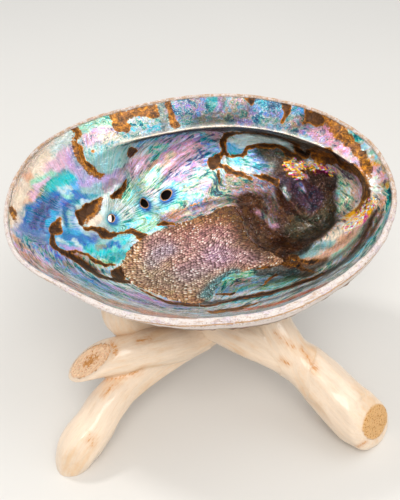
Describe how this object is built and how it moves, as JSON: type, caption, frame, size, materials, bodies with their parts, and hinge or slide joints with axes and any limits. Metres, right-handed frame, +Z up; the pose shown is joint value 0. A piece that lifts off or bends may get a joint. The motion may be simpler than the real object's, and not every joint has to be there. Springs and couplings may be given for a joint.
{
  "type": "abalone shell",
  "caption": "Oval abalone shell, hollow side up with open breathing holes, resting tilted on a low stand of interlaced polished sticks.",
  "frame": {"origin": "middle of the bottom of the whole object's box, on the surface the stand's feet rest on", "axes": "+Z up, +X along the shell's length towards its whorl, -Y towards the front, the side the shell tilts to"},
  "size_m": [0.1512, 0.1252, 0.0986],
  "materials": {
    "nacre": "iridescent mother of pearl inside with brown stains and a pebbled scar; chalky cream rim and a rough mottled outside",
    "pale_wood": "peeled, smooth and lacquered, cream with small rust stains"
  },
  "bodies": {
    "root": {"abalone_shell": "nacre", "leg_right": "pale_wood", "leg_left": "pale_wood", "leg_rear": "pale_wood"}
  },
  "joints": []
}
